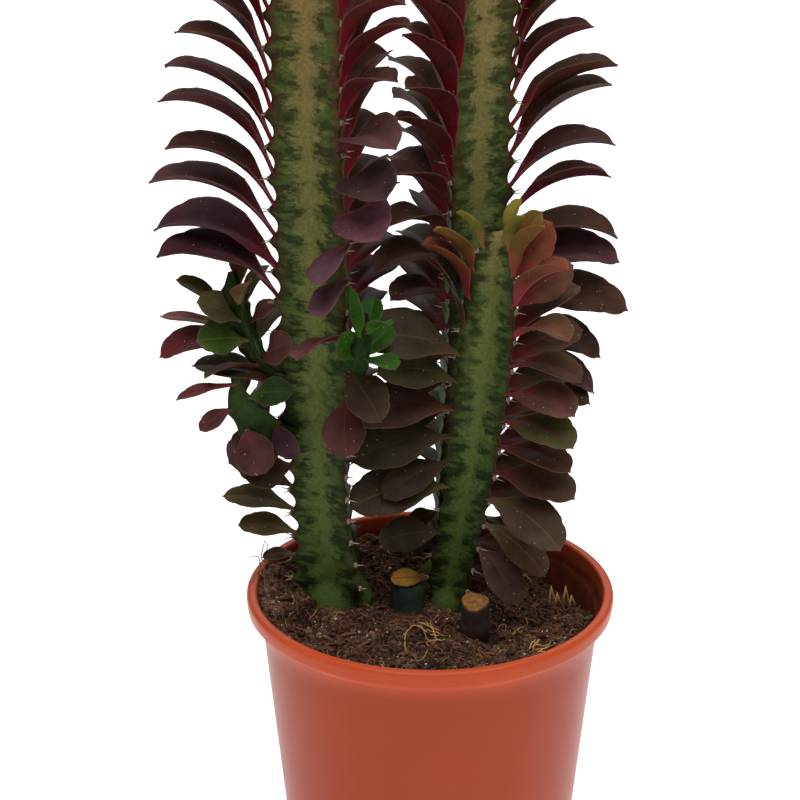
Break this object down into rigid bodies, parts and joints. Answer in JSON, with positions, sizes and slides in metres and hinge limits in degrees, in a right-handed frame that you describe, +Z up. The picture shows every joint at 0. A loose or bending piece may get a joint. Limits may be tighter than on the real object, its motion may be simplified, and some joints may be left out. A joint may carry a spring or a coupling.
{
  "type": "potted plant",
  "caption": "Potted red African milk tree: three ribbed green stems with purple-brown leaves in a terracotta coloured nursery pot of peat soil.",
  "frame": {"origin": "middle of the pot's flat bottom, on the surface it stands on", "axes": "+Z up along the pot's axis; the front of the plant faces -Y; +X to the right seen from the front"},
  "size_m": [0.2162, 0.1974, 0.4929],
  "materials": {
    "pot_plastic": "satin",
    "peat_soil": "rough",
    "stem_green": "satin",
    "stub_green": "satin",
    "dead_stem": "rough"
  },
  "bodies": {
    "root": {"pot": "pot_plastic", "soil": "peat_soil", "left_stem": "stem_green", "rear_stem": "stem_green", "front_stem": "stem_green", "leaf_stub": "stub_green", "cut_stub": "dead_stem"}
  },
  "joints": []
}
